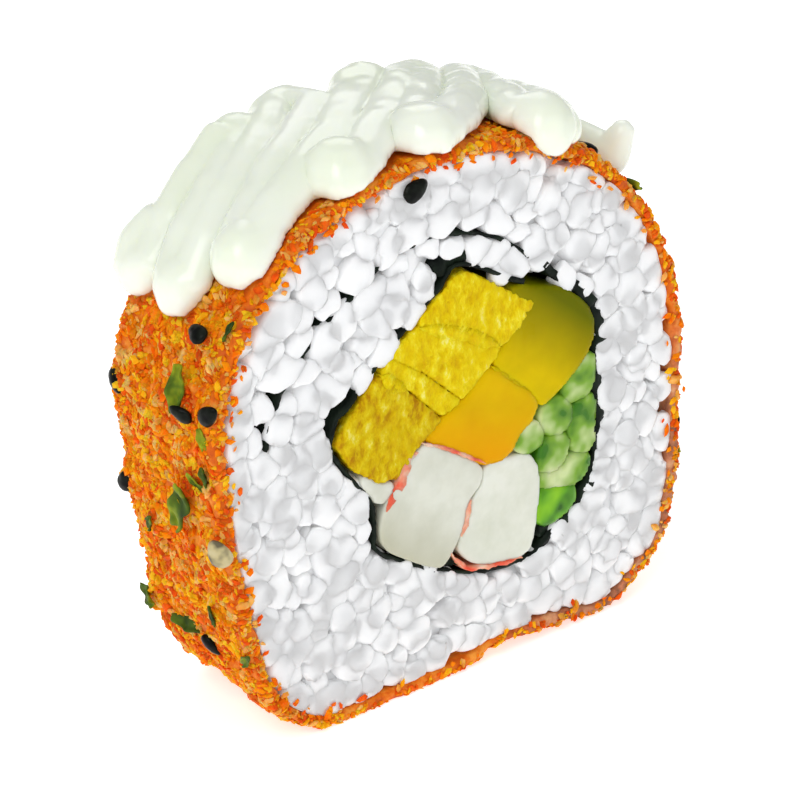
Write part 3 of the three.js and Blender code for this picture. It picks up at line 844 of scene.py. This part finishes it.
# random places over the outside of the coat, each with its normal
def coatPlaces(base, count, dice, wanted):
    faces = [f for f in base.data.polygons if wanted(f)]
    weights, total = [], 0
    for face in faces:
        total += face.area * (coat["rimShare"] if isRim(face.normal) else 1)
        weights.append(total)
    for face in dice.choices(faces, cum_weights=weights, k=count):
        corners = [base.data.vertices[v].co for v in face.vertices]
        shares = [dice.random() + 0.01 for _ in corners]
        point = Vector((0, 0, 0))
        for corner, share in zip(corners, shares):
            point += corner * (share / sum(shares))
        yield point, face.normal.copy()


# outwards from the roll's line
def outward(point):
    way = Vector((point.x - rollMiddle.x, 0, point.z - rollMiddle.z))
    return way.normalized()


def isOuter(face):
    looksOut = face.normal.dot(outward(face.center))
    return looksOut > coat["outerTurn"] or (isRim(face.normal) and looksOut > coat["rimBack"])


def underSauce(point, cover, reach=0.003):
    return hit(cover, point + outward(point) * 0.0002, outward(point), reach) is not None


# stood on a surface, turned about its normal and tilted a little
def standing(normal, dice, tilt):
    turn = Vector((0, 0, 1)).rotation_difference(normal) @ Quaternion((0, 0, 1), dice.uniform(0, 6.28))
    return turn @ Quaternion((1, 0, 0), dice.gauss(0, tilt))


# sizes and places are in millimetres, the rest in shares
crumbs = {
    "count": 12500, "clumps": 12, "inClump": 3, "singles": 4,
    "size": (0.25, 0.58), "smaller": 1.6, "width": (0.5, 0.95), "height": (0.35, 0.75), "heightBelow": 0.25,
    "flakes": 0.03, "flakeSize": (0.5, 0.8), "tilt": 0.2, "lift": 0.05,
    "clumpReach": 7.1,  # past this, near the cuts, the crumbs lie singly
    "cover": 3, "rimCover": 0.2,  # none lie this close under the sauce
    "thin": 0.6,  # nor on a scrap of the coat that is thinner
    "fewerBelow": 0.5,  # left off the rim, at the right and below
    "spilled": 0.3, "spill": 1.5, "rearSpill": 1.4,  # the rim's crumbs that lie on the rice, and how far in
}
crumbKinds = [
    {"name": "crumbsOrange", "share": 0.38, "low": (0.84, 0.13, 0.0), "high": (0.98, 0.28, 0.002)},
    {"name": "crumbsRed", "share": 0.23, "low": (0.64, 0.06, 0.002), "high": (0.88, 0.13, 0.005)},
    {"name": "crumbsAmber", "share": 0.21, "low": (0.90, 0.31, 0.0), "high": (0.98, 0.48, 0.012)},
    {"name": "crumbsTan", "share": 0.18, "low": (0.70, 0.24, 0.02), "high": (0.92, 0.46, 0.12)},
]


# small clumps of crumbs, or single ones
def crumbModels(count, inClump):
    dice = random.Random(3 + inClump)
    models = []
    for n in range(count):
        parts = []
        for k in range(inClump):
            bpy.ops.mesh.primitive_ico_sphere_add(subdivisions=1, radius=dice.uniform(0.55, 1) * mm)
            crumb = bpy.context.object
            angle = dice.uniform(0, 1.6) + 2.09 * k
            apart = dice.uniform(0.5, 1.05) * mm if inClump > 1 else 0
            for vertex in crumb.data.vertices:
                wobble = noise.noise_vector(vertex.co / (0.7 * mm) + Vector((5 * n, 2 * k, 0)))
                vertex.co += wobble * 0.5 * mm
                vertex.co.x *= 1 + 0.5 * dice.random()
                vertex.co += Vector((math.cos(angle) * apart, math.sin(angle) * apart,
                                     dice.uniform(-0.2, 0.2) * mm))
            parts.append(crumb)
        models.append(joined(parts))
    return models


def crumbPaint(kind):
    paint = Paint(kind["name"], Roughness=0.55, Subsurface_Weight=0.5, Subsurface_Scale=0.0008,
                  Specular_IOR_Level=0.06, Subsurface_Radius=(1.0, 0.3, 0.03))
    speck = paint.noise(700, 2, 0.6)
    paint.colour(paint.ramp(speck, (0.35, kind["low"]), (0.62, kind["high"])))
    paint.roughness(paint.noise(900, 2), 0.4, 0.7)
    return paint.material


# a scrap of the coat that sticks out too thin to hold crumbs
def isThin(surface, point, normal):
    return hit(surface, point - normal * 0.00005, -normal, crumbs["thin"] * mm) is not None


def makeCrumbs(base, surface, cover):
    dice = random.Random(17)
    clumps, singles = crumbModels(crumbs["clumps"], crumbs["inClump"]), crumbModels(crumbs["singles"], 1)
    places = {kind["name"]: [] for kind in crumbKinds}
    names = list(places)
    shares = [kind["share"] for kind in crumbKinds]
    for point, normal in coatPlaces(base, crumbs["count"], dice, isOuter):
        onRim = isRim(normal)
        close = crumbs["rimCover" if onRim else "cover"] * mm
        if underSauce(point, cover, close) or isThin(surface, point, normal):
            continue
        below = outward(point).dot(Vector((0.8, 0, -0.6))) > 0.2
        if onRim and below and dice.random() < crumbs["fewerBelow"]:
            continue
        if onRim and dice.random() < crumbs["spilled"]:
            inwards = crumbs["spill"] * dice.random() ** 2 + (crumbs["rearSpill"] if normal.y > 0 else 0)
            point -= outward(point) * inwards * mm
            point.y = midSlice + math.copysign(halfSlice, normal.y)
        low, high = crumbs["size"]
        size = low + (high - low) * dice.random() ** crumbs["smaller"]
        models = clumps
        if dice.random() < crumbs["flakes"]:
            size, models = dice.uniform(*crumbs["flakeSize"]), singles
        elif onRim or abs(point.y - midSlice) > crumbs["clumpReach"] * mm:
            models = singles
        height = size * dice.uniform(*crumbs["height"]) * (crumbs["heightBelow"] if normal.z < -0.8 else 1)
        turn = standing(normal, dice, crumbs["tilt"])
        width = size * dice.uniform(*crumbs["width"])
        matrix = placed(point + normal * crumbs["lift"] * mm, turn, (size, width, height))
        places[dice.choices(names, shares)[0]].append((dice.choice(models), matrix))
    for kind in crumbKinds:
        piece = scatter(places[kind["name"]], kind["name"])
        for vertex in piece.data.vertices:
            vertex.co.z = max(vertex.co.z, 0.02 * mm)
        dress(piece, crumbPaint(kind), "crumb_coating")
        print(kind["name"], len(places[kind["name"]]))
    discard(clumps + singles)


# where a line at an angle round the roll leaves the coat
def coatPoint(surface, degrees, y):
    angle = math.radians(degrees)
    way = Vector((math.cos(angle), 0, math.sin(angle)))
    inside = max(-coat["inside"], min(coat["inside"], y))
    far = Vector((rollMiddle.x, midSlice + inside * mm, rollMiddle.z)) + way * 0.06
    point, normal = hit(surface, far, -way)
    return point + Vector((0, (y - inside) * mm, 0)), normal


# random places on the right side, which the camera doesn't see
def hiddenPlaces(base, cover, tries, dice, lowest):
    for point, normal in coatPlaces(base, tries, dice, isOuter):
        if (point.x > rollMiddle.x and normal.z > lowest and abs(normal.y) < 0.3
                and not underSauce(point, cover)):
            yield point, normal


# places are degrees round the roll and millimetres along it
seeds = {
    "size": (1.36, 0.88, 0.52), "narrow": 0.28, "flatten": 0.15, "uneven": 0.05,
    "seen": [(153.7, -4.5), (167.5, -4.4), (165.7, -8), (170.5, 7.1), (191.8, 7.2), (220.1, -1.2)],
    "pale": (192.3, -8), "paleSize": 1.1, "hidden": 9, "tries": 300,
    "sizes": (0.85, 1.05), "tilt": 0.2, "lift": 0.4, "rimLift": -0.1, "rimFrom": 7,
    "onRice": (-6.1, -0.5, 50.1),  # the one that lies on the front cut
}


def seedModel():
    seed = ellipsoid(seeds["size"], 4)
    for vertex in seed.data.vertices:
        along = vertex.co.x / (seeds["size"][0] * mm)
        vertex.co.y *= 1 - seeds["narrow"] * along
        vertex.co.z *= 1 - seeds["flatten"] * along
        vertex.co += noise.noise_vector(vertex.co / (0.6 * mm)) * seeds["uneven"] * mm
    shadeSmooth(seed)
    return seed


def makeSeeds(base, surface, cover):
    dice = random.Random(29)
    seed = seedModel()
    places = []
    spots = [coatPoint(surface, *spot) for spot in seeds["seen"]]
    spots += list(hiddenPlaces(base, cover, seeds["tries"], dice, -0.5))[:seeds["hidden"]]
    for point, normal in spots:
        turn = standing(normal, dice, seeds["tilt"])
        lift = seeds["lift"] if abs(point.y - midSlice) < seeds["rimFrom"] * mm else seeds["rimLift"]
        size = dice.uniform(*seeds["sizes"])
        places.append((seed, placed(point + normal * lift * mm, turn, (size,) * 3)))
    x, y, z = seeds["onRice"]
    onRice = Vector((x * mm + sideShift, midSlice - halfSlice + y * mm, z * mm))
    leaning = Quaternion((1, 0, 0), 1.4) @ Quaternion((0, 0, 1), 0.4)
    places.append((seed, placed(onRice, leaning, (1, 1, 1))))
    paint = Paint("blackSesame", Roughness=0.3, Specular_IOR_Level=0.08)
    husk = paint.noise(600, 3)
    paint.colour(paint.ramp(husk, (0.45, (0.001, 0.001, 0.001)), (0.8, (0.014, 0.018, 0.012))))
    paint.bump(paint.noise(1500, 3), 0.4, 0.0001)
    dress(scatter(places, "sesameSeeds"), paint.material, None)
    point, normal = coatPoint(surface, *seeds["pale"])
    towardsFront = (normal + Vector((0, -1.5, 0))).normalized()
    turn = Vector((0, 0, 1)).rotation_difference(towardsFront) @ Quaternion((0, 0, 1), 1.4)
    place = placed(point + Vector((-0.1, -0.4, 0)) * mm, turn, (seeds["paleSize"],) * 3)
    paint = Paint("paleSesame", Roughness=0.4)
    paint.colour(paint.ramp(paint.noise(420, 3), (0.38, (0.12, 0.10, 0.05)), (0.5, (0.50, 0.42, 0.20)),
                            (0.7, (0.62, 0.55, 0.34))))
    dress(scatter([(seed, place)], "paleSeed"), paint.material, None)
    discard([seed])


# each seen one has its size too
herbs = {
    "leaves": 5, "width": 0.42, "taper": 0.55, "ragged": 0.5, "curl": 0.22, "cup": 0.12, "thickness": 0.12,
    "seen": [(164.2, -3.3, 2.2), (187, -3.2, 2.9), (178.7, -6.5, 1.3), (196.8, 3, 1.3), (208.6, -5.1, 1.2),
             (217.6, 7.6, 1.8), (219.4, 2.4, 1.9), (151, -7.6, 1), (181, -5, 1.2), (171, -6.6, 1),
             (216.3, -7.9, 1.3)],
    "hidden": 22, "tries": 400, "sizes": (0.7, 1.9), "tilt": 0.25, "lift": 0.42,
}


def leafModels():
    leaves = []
    for n in range(herbs["leaves"]):
        bpy.ops.mesh.primitive_grid_add(x_subdivisions=12, y_subdivisions=6, size=2)
        leaf = bpy.context.object
        for vertex in leaf.data.vertices:
            u, w = vertex.co.x, vertex.co.y
            edge = 1 + herbs["ragged"] * noise.noise(Vector((u * 2.2, n, w)))
            width = herbs["width"] * (1 - herbs["taper"] * abs(u)) * edge
            curl = herbs["curl"] * noise.noise(Vector((u * 1.6, w * 1.6, 9 * n))) + herbs["cup"] * w * w
            vertex.co = Vector((u, w * width, curl)) * mm
        applyModifier(leaf, "SOLIDIFY", thickness=herbs["thickness"] * mm, offset=0)
        applyModifier(leaf, "SUBSURF", levels=1, render_levels=1)
        shadeSmooth(leaf)
        leaves.append(leaf)
    return leaves


def makeHerbs(base, surface, cover):
    dice = random.Random(31)
    leaves = leafModels()
    spots = [(*coatPoint(surface, degrees, y), size) for degrees, y, size in herbs["seen"]]
    for point, normal in hiddenPlaces(base, cover, herbs["tries"], dice, -0.7):
        if len(spots) < len(herbs["seen"]) + herbs["hidden"]:
            spots.append((point, normal, dice.uniform(*herbs["sizes"])))
    places = []
    for point, normal, size in spots:
        turn = standing(normal, dice, herbs["tilt"])
        matrix = placed(point + normal * herbs["lift"] * mm, turn, (size,) * 3)
        places.append((dice.choice(leaves), matrix))
    paint = Paint("driedHerb", Roughness=0.6, Specular_IOR_Level=0.15, Subsurface_Weight=0.2,
                  Subsurface_Scale=0.0005)
    paint.colour(paint.ramp(paint.noise(330, 3), (0.36, (0.02, 0.045, 0.003)), (0.52, (0.09, 0.15, 0.006)),
                            (0.68, (0.38, 0.44, 0.015))))
    paint.bump(paint.noise(900, 3), 0.4, 0.0001)
    dress(scatter(places, "herbFlakes"), paint.material, None)
    discard(leaves)


cover = surfaceOf(makeSauce())
print("the sauce is piped")
base = coatBase()
baseSurface = surfaceOf(base)
makeCrumbs(base, baseSurface, cover)
makeSeeds(base, baseSurface, cover)
makeHerbs(base, baseSurface, cover)
print("the coating is on")
